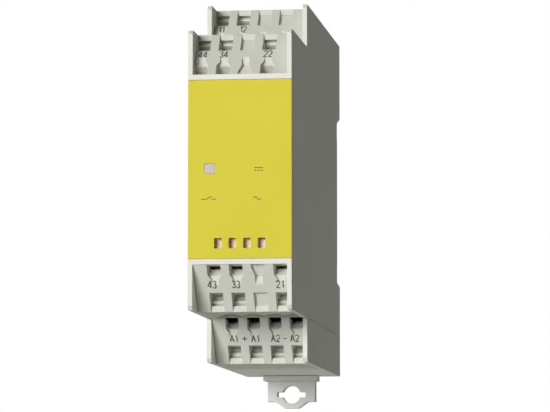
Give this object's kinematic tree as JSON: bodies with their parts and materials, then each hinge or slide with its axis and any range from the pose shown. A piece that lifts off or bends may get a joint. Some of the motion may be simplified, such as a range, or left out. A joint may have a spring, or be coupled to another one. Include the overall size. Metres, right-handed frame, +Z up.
{
  "type": "safety relay module",
  "caption": "Narrow stepped relay module for rail mounting, with sloped cage-clamp terminal tiers above and below a plain front panel.",
  "frame": {"origin": "centre of the raised pad, in the rear recess, that the mounting rail bears on", "axes": "+X across the module's width, +Y back towards the rail, +Z up"},
  "size_m": [0.0226, 0.097, 0.0879],
  "materials": {
    "housing_grey": "fine satin moulding",
    "terminal_grey": "fine satin moulding",
    "panel_yellow": "satin moulding",
    "clip_grey": "satin moulding",
    "spring_steel": "bright spring steel",
    "tinned_bar": "tin plated copper",
    "tinned_wire": "tin plated wire",
    "clear_guide": "clear, polished ends",
    "led_white": "clear lens",
    "board_green": "solder mask",
    "relay_case": "moulded cover",
    "capacitor_sleeve": "shrunk sleeve",
    "black_epoxy": "moulded epoxy",
    "varistor_blue": "dipped coating",
    "resistor_body": "cement coating"
  },
  "bodies": {
    "module": {"board_link_wires": "tinned_wire", "bridge_rectifier": "black_epoxy", "clamp_springs_lower_front": "spring_steel", "clamp_springs_lower_rear": "spring_steel", "clamp_springs_upper_front": "spring_steel", "clamp_springs_upper_rear": "spring_steel", "clip_spring": "spring_steel", "current_bars_lower_front": "tinned_bar", "current_bars_lower_rear": "tinned_bar", "current_bars_upper_front": "tinned_bar", "current_bars_upper_rear": "tinned_bar", "dropping_resistors": "resistor_body", "freewheel_diode": "black_epoxy", "front_hood": "housing_grey", "front_panel": "panel_yellow", "indicator_board": "board_green", "main_board": "board_green", "power_led": "led_white", "power_light_guide": "clear_guide", "rail_base": "housing_grey", "relay_capsule": "relay_case", "relay_pins": "tinned_wire", "smoothing_capacitor": "capacitor_sleeve", "status_leds": "led_white", "status_light_guide": "clear_guide", "surge_varistor": "varistor_blue", "terminal_block_lower_front": "terminal_grey", "terminal_block_lower_rear": "terminal_grey", "terminal_block_upper_front": "terminal_grey", "terminal_block_upper_rear": "terminal_grey"},
    "clip": {"rail_clip": "clip_grey"}
  },
  "joints": [
    {"name": "clip_slide", "type": "slide", "parent": "module", "child": "clip", "axis": [0, 0, -1], "range_m": [0, 0.0045], "stiffness_N_per_m": 2500, "springref_m": -0.002, "deforming": ["clip_spring"]}
  ]
}
